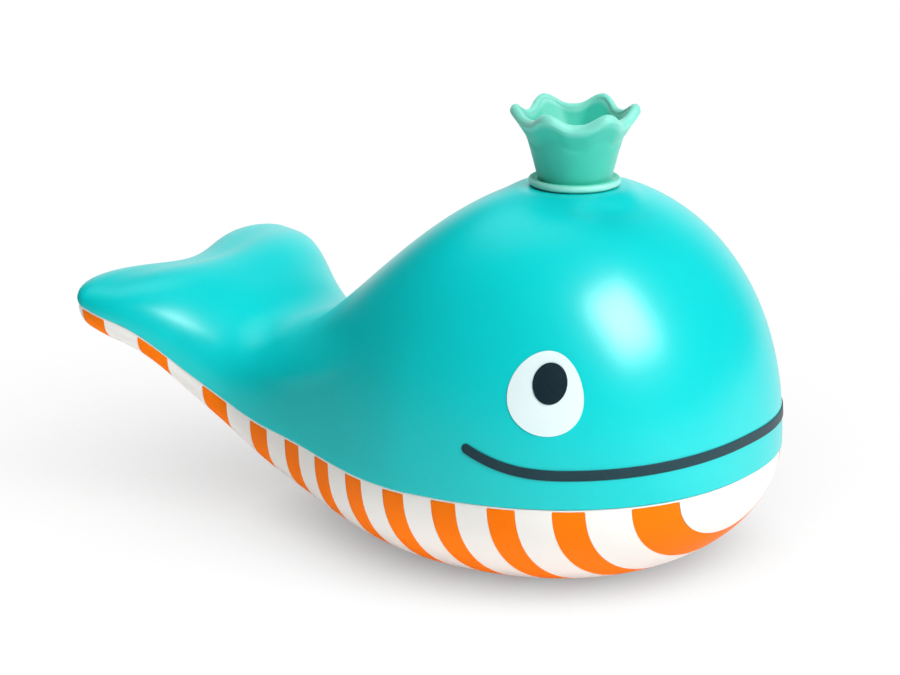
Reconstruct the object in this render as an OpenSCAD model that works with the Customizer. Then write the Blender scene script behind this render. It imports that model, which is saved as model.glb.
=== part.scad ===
// Bubble whale bath toy.
// Two welded shells carry twelve inlaid belly bands, two eyes and a smile. Inside, an air chamber
// runs from the water inlet in the flat base up to a collar in the dome. A soft crown on a pull-out
// plug closes the collar, and a perforated screen in the plug turns the rising air into bubbles.
// The origin is on the crown's axis, on the flat base. +X points to the nose and +Z up.

/* [Body] */
// Width across the head
body_w = 120; // [105:1:135]
// Length from the nose to the tips of the fluke
body_l = 189.5; // [180:0.5:205]
// Height of the dome above the seam
dome_h = 70.8; // [62:0.2:80]
// Depth of the round belly below the seam, before the flat base is cut
belly_d = 33.5; // [30:0.5:40]
// Height of the slice that the flat base takes off the round belly
base_cut = 2.5; // [2:0.1:4]
// Distance from the nose to the widest section
head_l = 65; // [58:0.5:75]
// Distance from the nose to the top of the dome
dome_l = 58; // [55:0.5:66]
// Distance from the nose to the deepest section of the belly
belly_l = 66; // [62:0.5:72]
// Distance from the nose to the crown's axis
crown_back = 53; // [49:0.5:58]
// Roundness of the nose, seen from above and in the belly
nose_pow = 2.25; // [2:0.05:2.6]
// Roundness of the forehead, seen from the side
forehead_pow = 2.1; // [2:0.05:2.5]
// Roundness of the dome's cross-sections
dome_pow = 2.4; // [2:0.05:2.8]
// Roundness of the belly's cross-sections
belly_pow = 2; // [1.8:0.05:2.3]
// Thickness of both shells
shell_wall = 2.2; // [1.8:0.1:2.8]
// Thickness of the flat base
base_t = 3; // [2.4:0.1:3.6]
// Step by which the lower shell sits inside the edge of the upper one
seam_step = 0.4; // [0.2:0.05:0.8]
// Gap of the seam line between the shells
seam_gap = 0.1; // [0.05:0.05:0.3]

/* [Tail] */
// Distance from the narrowest part of the stem to the end of the fluke
stem_l = 47.5; // [42:0.5:54]
// Width of the stem
stem_w = 65.5; // [55:0.5:80]
// Distance from the lowest part of the back to the end of the fluke
saddle_l = 42; // [36:0.5:50]
// Height of the stem above the seam
stem_h = 18.8; // [14:0.2:26]
// Distance from the widest part of the fluke to its end
fluke_l = 11.5; // [10:0.5:20]
// Width of the fluke
fluke_w = 94.5; // [80:0.5:115]
// Height of the fluke above the seam at its end
fluke_h = 6; // [5:0.1:10]
// Depth of the fluke below the seam
fluke_d = 11.4; // [8:0.2:15]
// Distance from where the belly has thinned to the fluke, to its end
thin_l = 19.5; // [14:0.5:30]
// Width of the fluke's straight end
end_w = 40; // [30:1:60]
// Length of the rounding at the fluke's end
end_r = 10; // [6:0.5:14]
// Roundness of the fluke's cross-sections
fluke_pow = 2.8; // [2.2:0.05:3.2]
// Distance from where the seam starts to rise, to the end of the fluke
rise_l = 70.5; // [60:0.5:80]
// Distance from where the seam is steepest, to the end of the fluke
steep_l = 18.5; // [14:0.5:26]
// Slope that the seam rises to
rise_slope = 1.18; // [0.9:0.02:1.3]
// Distance from where the seam starts to level out, to the end of the fluke
level_l = 34; // [28:0.5:40]
// Distance from where the seam has levelled out, to the end of the fluke
flat_l = 15.5; // [10:0.5:20]
// Slope that levelling out takes off again
level_slope = 0.84; // [0.6:0.02:0.9]
// Depth of the notch in the middle of the fluke's end
notch_d = 7.6; // [4:0.2:12]
// Half width of the notch
notch_w = 23; // [15:0.5:30]

/* [Belly bands] */
// Distance from the nose to the first band
band_first = 5; // [4:0.5:8]
// Distance from the last band to the end of the fluke
band_last = 9.2; // [7:0.2:14]
// Width of a band
band_w = 7; // [5:0.25:9]
// Depth of the recess that a band fills
band_t = 0.8; // [0.5:0.05:1.2]
// Margin of hull left between a band's end and the seam
band_drop = 1; // [0.6:0.1:2]
// Clearance of a band in its recess
band_gap = 0.05; // [0.02:0.01:0.15]

/* [Face] */
// Distance from the nose to the middle of the eye
eye_back = 30.8; // [26:0.1:36]
// Height of the eye's middle above the seam
eye_up = 29.2; // [24:0.1:36]
// Width of the eye
eye_w = 16.3; // [12:0.1:18]
// Height of the eye
eye_h = 20.8; // [16:0.1:24]
// Backward lean of the eye and the pupil
eye_lean = 14; // [0:1:20]
// Share by which the eye is wider below than at its middle
eye_egg = 0.09; // [0:0.01:0.15]
// Distance by which the eye's top and bottom bend forwards
eye_bend = 1.1; // [0:0.1:2]
// Distance by which the eye's top is skewed backwards
eye_skew = 0.4; // [0:0.1:1]
// Width of the pupil
pupil_w = 7.4; // [5:0.1:9]
// Height of the pupil
pupil_h = 10.2; // [8:0.1:13]
// Height of the pupil's middle above the eye's
pupil_up = 2.6; // [0:0.1:4]
// Distance of the pupil's middle in front of the eye's
pupil_front = 1.3; // [-1:0.1:2]
// Height of the smile's lowest part above the seam
smile_up = 9; // [7:0.2:13]
// Distance from the nose to the smile's lowest part
smile_low = 24; // [20:0.5:28]
// Rise of the smile at the nose
smile_front = 0.9; // [0.5:0.1:3]
// Rise of the smile's corners
smile_corner = 5.2; // [3:0.1:8]
// Distance from the nose to the smile's corners
smile_back = 47.5; // [42:0.5:54]
// Width of the smile's line
smile_w = 2.7; // [2:0.1:4]
// Thickness of the face's films
film_t = 0.25; // [0.15:0.05:0.4]
// Gap under a film
film_gap = 0.02; // [0.01:0.01:0.05]

/* [Crown] */
// Diameter of the crown's flange
flange_d = 24; // [23:0.2:28]
// Thickness of the crown's flange
flange_t = 2; // [1.6:0.1:2.2]
// Diameter of the cup's foot
foot_d = 19.8; // [19.6:0.1:22]
// Diameter that the cup's straight cone would reach at the rim
waist_d = 25.6; // [23:0.2:27]
// Diameter across the rim's valleys
valley_d = 29.6; // [27:0.2:31]
// Diameter across the rim's points
point_d = 33.6; // [31:0.2:38]
// Height of the points above the crown's seat
crown_h = 21; // [17:0.5:27]
// Depth of the valleys between the points
wave_d = 2.7; // [1.5:0.1:4]
// Sharpness of the points
wave_pow = 1.5; // [1:0.1:2.5]
// Number of points
points = 6; // [4:1:8]
// Direction of the first point
point_turn = 34; // [0:1:60]
// Power by which the cone flares out to the rim
flare_pow = 4.5; // [3:0.1:6]
// Thickness of the cup's wall
cup_wall = 2.2; // [1.6:0.1:2.6]

/* [Plug and collar] */
// Diameter of the collar's bore
bore_d = 16.8; // [16:0.1:17.4]
// Wall of the collar
collar_wall = 2; // [1.6:0.1:2.4]
// Length of the collar
collar_l = 26; // [24:0.5:30]
// Width of the collar's flange under the dome
collar_rim = 4.6; // [3:0.2:6]
// Thickness of the collar's flange
collar_rim_t = 1.8; // [1.2:0.1:2.4]
// Clearance for glue between the collar's flange and the dome
glue_gap = 0.7; // [0.5:0.05:1]
// Length of the plug below its seat
plug_l = 14; // [12:0.5:16]
// Wall of the plug
plug_wall = 2.15; // [2:0.05:2.6]
// Height of the plug's neck above the seat
neck_h = 5; // [4.6:0.1:5.6]
// Step from the plug's body in to its neck
neck_step = 0.75; // [0.6:0.05:0.9]
// Height of the bead that holds the crown
bead_h = 0.5; // [0.3:0.05:0.6]
// Length of the bead
bead_l = 1; // [0.8:0.1:1.4]
// Thickness of the bubble screen
screen_t = 0.8; // [0.6:0.1:1.2]
// Width of the ledge under the screen
ledge_w = 0.75; // [0.5:0.05:0.9]
// Diameter of a hole in the screen
hole_d = 1.2; // [0.8:0.1:1.4]
// Spacing of the holes
hole_pitch = 2.4; // [2:0.1:2.8]
// Thickness of a round seal
seal_d = 1.2; // [0.8:0.1:1.4]
// Running clearance of round parts
run_gap = 0.05; // [0.03:0.01:0.09]
// Clearance between a seal and its walls
seal_gap = 0.02; // [0.01:0.01:0.03]
// Height of the crown's seat above the dome's pad
seat_up = 0.2; // [0.1:0.05:0.4]
// Drop of the level pad below the dome's own height at the crown's axis
pad_drop = 0.7; // [0.3:0.1:1.2]
// Margin of the pad around the crown's flange
pad_margin = 0.6; // [0.3:0.1:1.5]
// Width over which the pad blends into the dome
pad_blend = 6; // [5:0.5:10]

/* [Air chamber] */
// Diameter of the chamber
chamber_d = 40; // [34:1:46]
// Wall of the chamber
chamber_wall = 1.6; // [1.2:0.1:2]
// Length of the cone between the chamber and its neck
cone_l = 14; // [10:0.5:20]
// Gap between the chamber's neck and the plug
air_gap = 2; // [1:0.5:4]
// Diameter of the inlet's spigot through the base
spigot_d = 18; // [16:0.2:18.2]
// Diameter of the boss that presses on the gasket
boss_d = 26; // [24:0.5:30]
// Length of the boss
boss_l = 2; // [1.6:0.2:3]
// Thickness of the flat gasket
gasket_t = 1; // [0.8:0.1:1.6]

/* [Hidden] */
$fn = 64;

bands = 12;
band_pitch = (body_l - band_first - band_last - band_w) / (bands - 1);
seam_h = belly_d - base_cut;
nose_x = crown_back;

// Places along the tail, measured back from the nose
stem_at = body_l - stem_l;
saddle_at = body_l - saddle_l;
fluke_at = body_l - fluke_l;
thin_at = body_l - thin_l;
rise_at = body_l - rise_l;
steep_at = body_l - steep_l;
level_at = body_l - level_l;
flat_at = body_l - flat_l;

// Mesh steps of the shells, the films and the crown
shell_steps = 40;
shell_rows = 24;
film_steps = 12;
film_rows = 6;
smile_steps = 36;
cap_steps = 4;
crown_steps = 48;
cup_rows = 6;

// Layers, as distances in from the upper shell's outer face
hull_skin = seam_step;
hull_inner = hull_skin + shell_wall;
eye_top = -film_gap - film_t;
pupil_base = eye_top - film_gap;
pupil_top = pupil_base - film_t;

// Curves along the body, at distance d back from the nose and inset t from the skin

function clamp(x) = max(0, min(1, x));

function smooth(x) = let(c = clamp(x)) c * c * (3 - 2 * c);

function ease(d, from, to) = smooth((d - from) / (to - from));

// Integral of ease along d
function ramp(d, from, to) =
    let(c = clamp((d - from) / (to - from)))
    (to - from) * (pow(c, 3) - pow(c, 4) / 2) + max(0, d - to);

function nose(d, reach, power) = pow(1 - pow(max(0, 1 - d / reach), power), 1 / power);

function end_round(d, t) =
    let(c = clamp((d - body_l + end_r) / (end_r - t)))
    sqrt(1 - c * c);

function half_w(d, t) =
    let(head = (body_w / 2 - t) * nose(d - t, head_l - t, nose_pow),
        stem = (stem_w - body_w) / 2 * ease(d, head_l, stem_at),
        fluke = (fluke_w - stem_w) / 2 * ease(d, stem_at, fluke_at),
        kept = end_w / fluke_w)
    (head + stem + fluke) * (kept + (1 - kept) * end_round(d, t));

function top_h(d, t) =
    let(dome = (dome_h - t) * nose(d - t, dome_l - t, forehead_pow),
        stem = (stem_h - dome_h) * ease(d, dome_l, saddle_at),
        fluke = (fluke_h - stem_h) * ease(d, saddle_at, body_l))
    (dome + stem + fluke) * end_round(d, t);

function low_d(d, t) =
    let(belly = (belly_d - t) * nose(d - t, belly_l - t, nose_pow),
        fluke = (fluke_d - belly_d) * ease(d, belly_l, thin_at))
    (belly + fluke) * end_round(d, t);

function seam_z(d) =
    seam_h + rise_slope * ramp(d, rise_at, steep_at) - level_slope * ramp(d, level_at, flat_at);

function seam_slope(d) =
    rise_slope * ease(d, rise_at, steep_at) - level_slope * ease(d, level_at, flat_at);

function section_pow(d, power) = power + (fluke_pow - power) * ease(d, head_l, stem_at);

function notch(d, y) = notch_d * exp(-pow(y / notch_w, 2)) * ease(d, stem_at, body_l);

function side_y(w, v, power) = w * sign(cos(v)) * pow(abs(cos(v)), 2 / power);

// The dome is levelled to a pad under the crown
pad_r = flange_d / 2 + pad_margin;
pad_z = seam_h + top_h(crown_back, 0) - pad_drop;

function padded(p, t) =
    let(w = 1 - smooth((norm([p.x, p.y]) - pad_r) / pad_blend))
    [p.x, p.y, p.z + w * (pad_z - t - p.z)];

// A point of the upper skin at angle v, from 0 on the left of the seam to 180 on the right
function upper_point(d, v, t) =
    let(power = section_pow(d, dome_pow),
        y = side_y(half_w(d, t), v, power),
        back = notch(d, y),
        z = seam_z(d) - back * seam_slope(d))
    padded([nose_x - d + back, y, z + top_h(d, t) * pow(abs(sin(v)), 2 / power)], t);

// A point of the lower skin, which the flat base cuts at the given height
function lower_point(d, v, t, flat) =
    let(power = section_pow(d, belly_pow),
        y = side_y(half_w(d, t), v, power),
        back = notch(d, y),
        z = seam_z(d) - seam_gap - back * seam_slope(d))
    [nose_x - d + back, y, max(z - low_d(d, t) * pow(abs(sin(v)), 2 / power), flat)];

// A point on the head's side, n above the seam
function face_point(d, n, side, t) =
    let(power = section_pow(d, dome_pow),
        share = 1 - pow(n / top_h(d, t), power))
    [nose_x - d, side * half_w(d, t) * pow(max(0, share), 1 / power), seam_z(d) + n];

// Closed bodies lofted from rings of points. The first half of a ring is its outer face and
// the second half its inner face, in reverse. Both halves are split along the same diagonals, so that
// a band's inner face follows the floor of its recess.

function quad(a, b, c, d) = [[a, b, c], [a, c, d]];

function side_faces(n, k, loop) =
    [for (i = [0 : loop ? n - 1 : n - 2], j = [0 : k - 1])
        let(a = i * k, b = (i + 1) % n * k, m = (j + 1) % k)
        each j < k / 2 ? quad(a + j, b + j, b + m, a + m) : quad(b + j, b + m, a + m, a + j)];

function cap_faces(a, k, flip) =
    [for (j = [0 : k / 2 - 2])
        each flip ? quad(a + j, a + k - 1 - j, a + k - 2 - j, a + j + 1)
            : quad(a + j, a + j + 1, a + k - 2 - j, a + k - 1 - j)];

// Where a ring shrinks to a point or two rows meet, the faces without area are left out
function has_area(f, p) = p[f[0]] != p[f[1]] && p[f[1]] != p[f[2]] && p[f[2]] != p[f[0]];

module loft(rings, loop = false) {
    n = len(rings);
    k = len(rings[0]);
    p = [for (ring = rings) each ring];
    ends = loop ? [] : concat(cap_faces(0, k, false), cap_faces((n - 1) * k, k, true));
    polyhedron(p, [for (f = concat(ends, side_faces(n, k, loop))) if (has_area(f, p)) f]);
}

// Shells

// Step i of the upper shell, closer together at the nose and the fluke
function shell_step(i, t) = t + (body_l - 2 * t) * (1 - cos(180 * i / shell_steps)) / 2;

function upper_ring(i) =
    [for (j = [0 : shell_rows]) upper_point(shell_step(i, 0), 180 * j / shell_rows, 0),
        for (j = [shell_rows : -1 : 0])
            upper_point(shell_step(i, shell_wall), 180 * j / shell_rows, shell_wall)];

module upper_shell() {
    color("darkturquoise")
    difference() {
        loft([for (i = [shell_steps : -1 : 0]) upper_ring(i)]);
        translate([0, 0, pad_z / 2])
        cylinder(h = pad_z, r = collar_r + run_gap);
    }
}

function band_from(i) = band_first + i * band_pitch;

// Angle at which the lower skin is the given drop below the seam
function edge_angle(d, drop) =
    asin(pow(min(1, drop / low_d(d, hull_skin)), section_pow(d, belly_pow) / 2));

function band_angle(d, drop, j) =
    let(e = edge_angle(d, drop))
    e + (180 - 2 * e) * j / shell_rows;

// Row angles of the lower shell: the seam, the recess's edge doubled, and the recess between
function hull_angles(d) =
    let(e = edge_angle(d, band_drop))
    concat([0, e], [for (j = [0 : shell_rows]) band_angle(d, band_drop, j)], [180 - e, 180]);

// A step of the inner face, spread between its own nose and end
function inner_step(d) =
    hull_inner + (d - hull_skin) * (body_l - 2 * hull_inner) / (body_l - 2 * hull_skin);

// Ring of the lower shell at distance d, with the recess cut or not
function lower_ring(d, cut) =
    let(v = hull_angles(d), n = len(v))
    [for (j = [0 : n - 1])
            let(depth = cut && j > 1 && j < n - 2 ? band_t : 0)
            lower_point(d, v[j], hull_skin + depth, depth),
        for (j = [n - 1 : -1 : 0]) lower_point(inner_step(d), v[j], hull_inner, base_t)];

// Steps at the chin and at the end of the fluke, as shares of the run outside the bands
chin_shares = [0, 0.03, 0.12, 0.3, 0.6];
end_shares = [0.3, 0.6, 0.85, 0.96, 1];

function hull_steps() =
    let(chin = band_first - hull_skin, last = band_from(bands - 1) + band_w)
    concat([for (s = chin_shares) [hull_skin + chin * s, false]],
        [for (i = [0 : bands - 1], edge = [0, 1], side = [0, 1])
            [band_from(i) + edge * band_w, edge != side]],
        [for (s = end_shares) [last + (body_l - hull_skin - last) * s, false]]);

module inlet_hole() {
    translate([0, 0, -base_t])
    cylinder(h = 3 * base_t, d = spigot_d + 2 * run_gap);
}

module lower_shell() {
    color("ivory")
    difference() {
        loft([for (s = hull_steps()) lower_ring(s[0], s[1])]);
        inlet_hole();
    }
}

function band_ring(d) =
    let(depth = band_t - band_gap)
    [for (j = [0 : shell_rows]) lower_point(d, band_angle(d, band_drop + band_gap, j), hull_skin, 0),
        for (j = [shell_rows : -1 : 0])
            lower_point(d, band_angle(d, band_drop + band_gap, j), hull_skin + depth, depth)];

module belly_band(i) {
    color("darkorange")
    difference() {
        loft([band_ring(band_from(i) + band_gap), band_ring(band_from(i) + band_w - band_gap)]);
        inlet_hole();
    }
}

// Face

// An egg-shaped film on the head's side
module egg_film(back, up, w, h, egg, side, base, top, bend = 0, skew = 0) {
    function egg_point(a, o, t) =
        let(q = h / 2 * sin(a),
            p = w / 2 * cos(a) * (1 - egg * sin(a)) * o,
            shift = skew * sin(a) - bend * pow(sin(a), 2))
        face_point(back + p * cos(eye_lean) + q * sin(eye_lean) + shift,
            up + q * cos(eye_lean) - p * sin(eye_lean), side, t);
    function across(j) = 2 * j / film_rows - 1;
    turn = [for (i = [0 : film_steps]) (180 * i / film_steps - 90) * side];
    loft([for (a = turn)
        [for (j = [0 : film_rows]) egg_point(a, across(j), top),
            for (j = [film_rows : -1 : 0]) egg_point(a, across(j), base)]]);
}

module eye_white(side) {
    color("azure")
    egg_film(eye_back, eye_up, eye_w, eye_h, eye_egg, side, -film_gap, eye_top, eye_bend, eye_skew);
}

module pupil(side) {
    color("darkslategray")
    egg_film(eye_back - pupil_front, eye_up + pupil_up, pupil_w, pupil_h, 0, side, pupil_base, pupil_top);
}

smile_curl = 2.5;

function smile_height(d) =
    smile_up + smile_front * pow(max(0, 1 - d / smile_low), 2)
    + smile_corner * pow(max(0, d - smile_low) / (smile_back - smile_low), smile_curl);

function smile_slope(d) =
    let(run = smile_back - smile_low)
    smile_corner * smile_curl / run * pow(max(0, d - smile_low) / run, smile_curl - 1)
    - 2 * smile_front / smile_low * max(0, 1 - d / smile_low);

// Distance of the forehead's front from the nose, at height n
function forehead_d(n, t) =
    t + (dome_l - t) * (1 - pow(1 - pow(n / (dome_h - t), forehead_pow), 1 / forehead_pow));

// A point of the smile at share u from the nose to a corner, o across the line and c past the corner
function smile_point(u, o, c, t) =
    let(run = (smile_back - forehead_d(smile_height(0), 0)) * u * u,
        d = forehead_d(smile_height(0), 0) + run,
        slope = smile_slope(d) * abs(u),
        unit = sqrt(1 + slope * slope),
        n = smile_height(d) + (o + c * slope) / unit)
    face_point(forehead_d(n, t) + run + (c - o * slope) / unit, n, sign(u), t);

smile_ends = [for (i = [1 : cap_steps]) 90 * i / cap_steps];

function smile_ring(u, o, c) =
    [for (s = [-1, 0, 1]) smile_point(u, s * o, c, -film_gap - film_t),
        for (s = [1, 0, -1]) smile_point(u, s * o, c, -film_gap)];

module smile() {
    half = smile_w / 2;
    color("darkslategray")
    loft(concat(
        [for (i = [cap_steps - 1 : -1 : 0])
            smile_ring(1, half * cos(smile_ends[i]), half * sin(smile_ends[i]))],
        [for (i = [0 : smile_steps]) smile_ring(1 - 2 * i / smile_steps, half, 0)],
        [for (a = smile_ends) smile_ring(-1, half * cos(a), half * sin(a))]));
}

// Collar, plug and seals

seat_z = pad_z + seat_up;
bore_r = bore_d / 2;
collar_r = bore_r + collar_wall;
collar_rim_r = collar_r + collar_rim;
plug_r = bore_r - run_gap;
plug_in = plug_r - plug_wall;
neck_r = plug_r - neck_step;
screen_seat_r = plug_in + ledge_w;
seal_r = bore_r - seal_gap - seal_d / 2;
groove_r = seal_r - seal_d / 2 - seal_gap;
groove_l = seal_d + 2 * seal_gap;
plug_seal_z = seat_z - plug_l / 2;
bead_z = seat_z + flange_t + bead_l / 2;
plug_top = seat_z + neck_h;

// Lowest part of the dome's inner face over the collar's flange
under_dome = min([for (a = [0 : 10 : 350]) dome_z(collar_rim_r * cos(a), collar_rim_r * sin(a))]);

function dome_z(x, y) =
    let(d = nose_x - x,
        power = section_pow(d, dome_pow),
        n = pow(1 - pow(abs(y) / half_w(d, shell_wall), power), 1 / power))
    padded([x, y, seam_z(d) + top_h(d, shell_wall) * n], shell_wall).z;

collar_rim_z = under_dome - glue_gap - collar_rim_t;

module blowhole_collar() {
    color("paleturquoise")
    rotate_extrude()
    polygon([[bore_r, seat_z - collar_l], [collar_r, seat_z - collar_l], [collar_r, collar_rim_z],
        [collar_rim_r, collar_rim_z], [collar_rim_r, collar_rim_z + collar_rim_t],
        [collar_r, collar_rim_z + collar_rim_t], [collar_r, seat_z], [bore_r, seat_z]]);
}

module seal_ring(z) {
    color("dimgray")
    translate([0, 0, z])
    rotate_extrude()
    translate([seal_r, 0])
    circle(d = seal_d);
}

// Profile of a seal's groove in an outer wall of radius r, from below
function groove_points(z, r) =
    [[r, z - groove_l / 2], [groove_r, z - groove_l / 2], [groove_r, z + groove_l / 2], [r, z + groove_l / 2]];

module crown_plug() {
    bead_r = neck_r + bead_h;
    screen_z = plug_top - screen_t;
    color("whitesmoke")
    rotate_extrude()
    polygon(concat([[plug_in, seat_z - plug_l], [plug_r, seat_z - plug_l]],
        groove_points(plug_seal_z, plug_r),
        [[plug_r, seat_z], [neck_r, seat_z], [neck_r, bead_z], [bead_r, bead_z], [bead_r, bead_z + bead_l],
            [neck_r, bead_z + bead_l], [neck_r, plug_top], [screen_seat_r, plug_top],
            [screen_seat_r, screen_z], [plug_in, screen_z]]));
}

module plug_seal() {
    seal_ring(plug_seal_z);
}

// Holes on a triangular grid, as many as fit inside the ledge
function hole_places() =
    let(reach = plug_in - hole_d, n = floor(2 * reach / hole_pitch))
    [for (i = [-n : n], j = [-n : n])
        let(p = hole_pitch * [i + j / 2, j * sqrt(3) / 2])
        if (norm(p) <= reach) p];

module bubble_screen() {
    color("lightgray")
    translate([0, 0, plug_top - screen_t])
    difference() {
        cylinder(h = screen_t, r = screen_seat_r - run_gap);
        for (p = hole_places())
            translate([p.x, p.y, -screen_t])
            cylinder(h = 3 * screen_t, d = hole_d, $fn = 16);
    }
}

// Air chamber

chamber_r = chamber_d / 2;
neck_top = seat_z - plug_l - air_gap;
neck_foot = seat_z - collar_l - run_gap;
shoulder_z = neck_foot - cone_l;
boss_z = base_t + gasket_t;
chamber_floor = boss_z + boss_l;
spigot_r = spigot_d / 2;
inlet_r = spigot_r - chamber_wall;
chamber_seal_z = (neck_top + neck_foot) / 2;

module air_chamber() {
    inner_r = chamber_r - chamber_wall;
    inner_floor = chamber_floor + chamber_wall;
    color("aliceblue")
    rotate_extrude()
    polygon(concat([[inlet_r, 0], [spigot_r, 0], [spigot_r, boss_z], [boss_d / 2, boss_z],
            [boss_d / 2, chamber_floor], [chamber_r, chamber_floor], [chamber_r, shoulder_z],
            [plug_r, neck_foot]],
        groove_points(chamber_seal_z, plug_r),
        [[plug_r, neck_top], [plug_in, neck_top], [plug_in, neck_foot], [inner_r, shoulder_z],
            [inner_r, inner_floor], [inlet_r, inner_floor]]));
}

module chamber_seal_upper() {
    seal_ring(chamber_seal_z);
}

module chamber_seal_lower() {
    color("dimgray")
    translate([0, 0, base_t])
    difference() {
        cylinder(h = gasket_t, d = boss_d);
        translate([0, 0, -gasket_t])
        cylinder(h = 3 * gasket_t, r = spigot_r + run_gap);
    }
}

// Crown

flange_r = flange_d / 2;
foot_r = foot_d / 2;
crown_bore = neck_r + run_gap;
bead_room = neck_r + bead_h + run_gap;
sleeve_r = foot_r - cup_wall / 2;
cup_in = (sleeve_r + bead_room) / 2;
edge_r = flange_t / 3;

// Wave of the rim, 1 at a point and 0 in a valley
function wave(a) = (1 + cos(points * (a - point_turn))) / 2;

// Radius of the cup's wall at share u of its height
function cup_r(u, a) =
    let(flare = (valley_d + (point_d - valley_d) * wave(a) - waist_d) / 2)
    foot_r + (waist_d / 2 - foot_r) * u + flare * pow(u, flare_pow);

function rim_z(a) = seat_z + crown_h - wave_d * (1 - pow(wave(a), wave_pow));

// A point of the cup's wall at share u of its height, inset t, with the sleeve left whole
function cup_point(u, a, t) =
    let(foot_z = seat_z + flange_t / 2, outer = cup_r(u, a), r = t > 0 ? max(outer - t, cup_in) : outer)
    [r * cos(a), r * sin(a), foot_z + u * (rim_z(a) - cup_wall / 2 - foot_z)];

function rim_point(a) =
    let(r = cup_r(1, a) - cup_wall / 2)
    [r * cos(a), r * sin(a), rim_z(a)];

function cup_ring(a) =
    concat([for (j = [0 : cup_rows]) cup_point(sqrt(j / cup_rows), a, 0)],
        [rim_point(a)],
        [for (j = [cup_rows : -1 : 0]) cup_point(sqrt(j / cup_rows), a, cup_wall)]);

module crown() {
    color("mediumaquamarine")
    union() {
        loft([for (i = [crown_steps : -1 : 1]) cup_ring(360 * i / crown_steps)], true);
        rotate_extrude()
        polygon([[crown_bore, seat_z], [flange_r - edge_r, seat_z], [flange_r, seat_z + edge_r],
            [flange_r, seat_z + flange_t - edge_r], [flange_r - edge_r, seat_z + flange_t],
            [sleeve_r, seat_z + flange_t], [sleeve_r, plug_top], [crown_bore, plug_top],
            [crown_bore, bead_z + bead_l + run_gap], [bead_room, bead_z + bead_l + run_gap],
            [bead_room, bead_z - run_gap], [crown_bore, bead_z - run_gap]]);
    }
}

upper_shell();
lower_shell();
for (i = [0 : bands - 1])
    belly_band(i);
eye_white(1);  // eye_white_left
eye_white(-1);  // eye_white_right
pupil(1);  // pupil_left
pupil(-1);  // pupil_right
smile();
blowhole_collar();
air_chamber();
chamber_seal_upper();
chamber_seal_lower();
crown_plug();
plug_seal();
bubble_screen();
crown();
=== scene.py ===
"""Dresses the bubble whale bath toy.

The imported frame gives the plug, its screen, the collar, the air chamber and the seals. The two shells,
the inlaid belly bands, the printed face and the soft crown are built here as smooth meshes on the same
curves. The origin is on the crown's axis, on the flat base. +X points to the nose and +Z up. Sizes are
in metres.
"""

import logging
import math
from collections.abc import Iterator, Sequence
from dataclasses import dataclass
from enum import Enum

import bmesh
import bpy
import numpy as np
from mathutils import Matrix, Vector


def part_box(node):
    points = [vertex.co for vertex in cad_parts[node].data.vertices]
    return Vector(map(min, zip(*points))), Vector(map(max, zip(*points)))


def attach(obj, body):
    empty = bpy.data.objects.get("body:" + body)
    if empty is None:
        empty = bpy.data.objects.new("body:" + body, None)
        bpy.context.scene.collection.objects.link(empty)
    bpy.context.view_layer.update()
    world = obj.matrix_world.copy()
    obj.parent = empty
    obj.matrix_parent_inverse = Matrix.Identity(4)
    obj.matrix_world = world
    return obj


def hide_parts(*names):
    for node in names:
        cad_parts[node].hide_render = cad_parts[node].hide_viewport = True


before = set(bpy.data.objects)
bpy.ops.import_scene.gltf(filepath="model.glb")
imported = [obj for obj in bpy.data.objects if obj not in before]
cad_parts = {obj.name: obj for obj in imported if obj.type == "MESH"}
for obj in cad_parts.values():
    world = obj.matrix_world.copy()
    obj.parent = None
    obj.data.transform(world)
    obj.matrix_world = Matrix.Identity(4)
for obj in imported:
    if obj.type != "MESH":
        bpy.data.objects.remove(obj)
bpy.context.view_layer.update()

LOG = logging.getLogger("bubble_whale")
SHARP_ANGLE = math.radians(40)
WELD = 2e-7
SEAM_WELD = 1e-6
INSIDE_Z = 0.045
EDGE = "edge"
PAINTED_HIGHLIGHT = "painted_highlight"

Colour = tuple[float, float, float]
Array = np.ndarray


class Side(Enum):
    """A side of the whale, by the sign of Y."""

    LEFT = 1
    RIGHT = -1

    @property
    def word(self) -> str:
        """The side's name in a piece's name."""
        return self.name.lower()


class Body(Enum):
    """A body of the frame that pieces ride on."""

    HULL = "hull"
    CROWN = "crown"


class Value:
    """A node's output that takes part in Python expressions, each operator adding a Math node."""

    def __init__(self, nodes: "Nodes", socket: bpy.types.NodeSocket) -> None:
        """Wraps a socket of the given tree."""
        self.nodes = nodes
        self.socket = socket

    def __add__(self, other: "Operand") -> "Value":
        """This value plus another."""
        return self.nodes.math("ADD", self, other)

    def __radd__(self, other: "Operand") -> "Value":
        """Another value plus this one."""
        return self.nodes.math("ADD", other, self)

    def __sub__(self, other: "Operand") -> "Value":
        """This value less another."""
        return self.nodes.math("SUBTRACT", self, other)

    def __rsub__(self, other: "Operand") -> "Value":
        """Another value less this one."""
        return self.nodes.math("SUBTRACT", other, self)

    def __mul__(self, other: "Operand") -> "Value":
        """This value times another."""
        return self.nodes.math("MULTIPLY", self, other)

    def __rmul__(self, other: "Operand") -> "Value":
        """Another value times this one."""
        return self.nodes.math("MULTIPLY", other, self)

    def __truediv__(self, other: "Operand") -> "Value":
        """This value over another."""
        return self.nodes.math("DIVIDE", self, other)

    def __rtruediv__(self, other: "Operand") -> "Value":
        """Another value over this one."""
        return self.nodes.math("DIVIDE", other, self)

    def __pow__(self, other: "Operand") -> "Value":
        """This value to a power."""
        return self.nodes.math("POWER", self, other)

    def clamped(self) -> "Value":
        """This value kept from 0 to 1."""
        return self.nodes.add("ShaderNodeMath", {"operation": "ADD", "use_clamp": True}, {0: self, 1: 0.0})

    def smooth(self) -> "Value":
        """This value eased from 0 to 1."""
        share = self.clamped()
        return share * share * (3 - 2 * share)


Operand = Value | float


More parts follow.
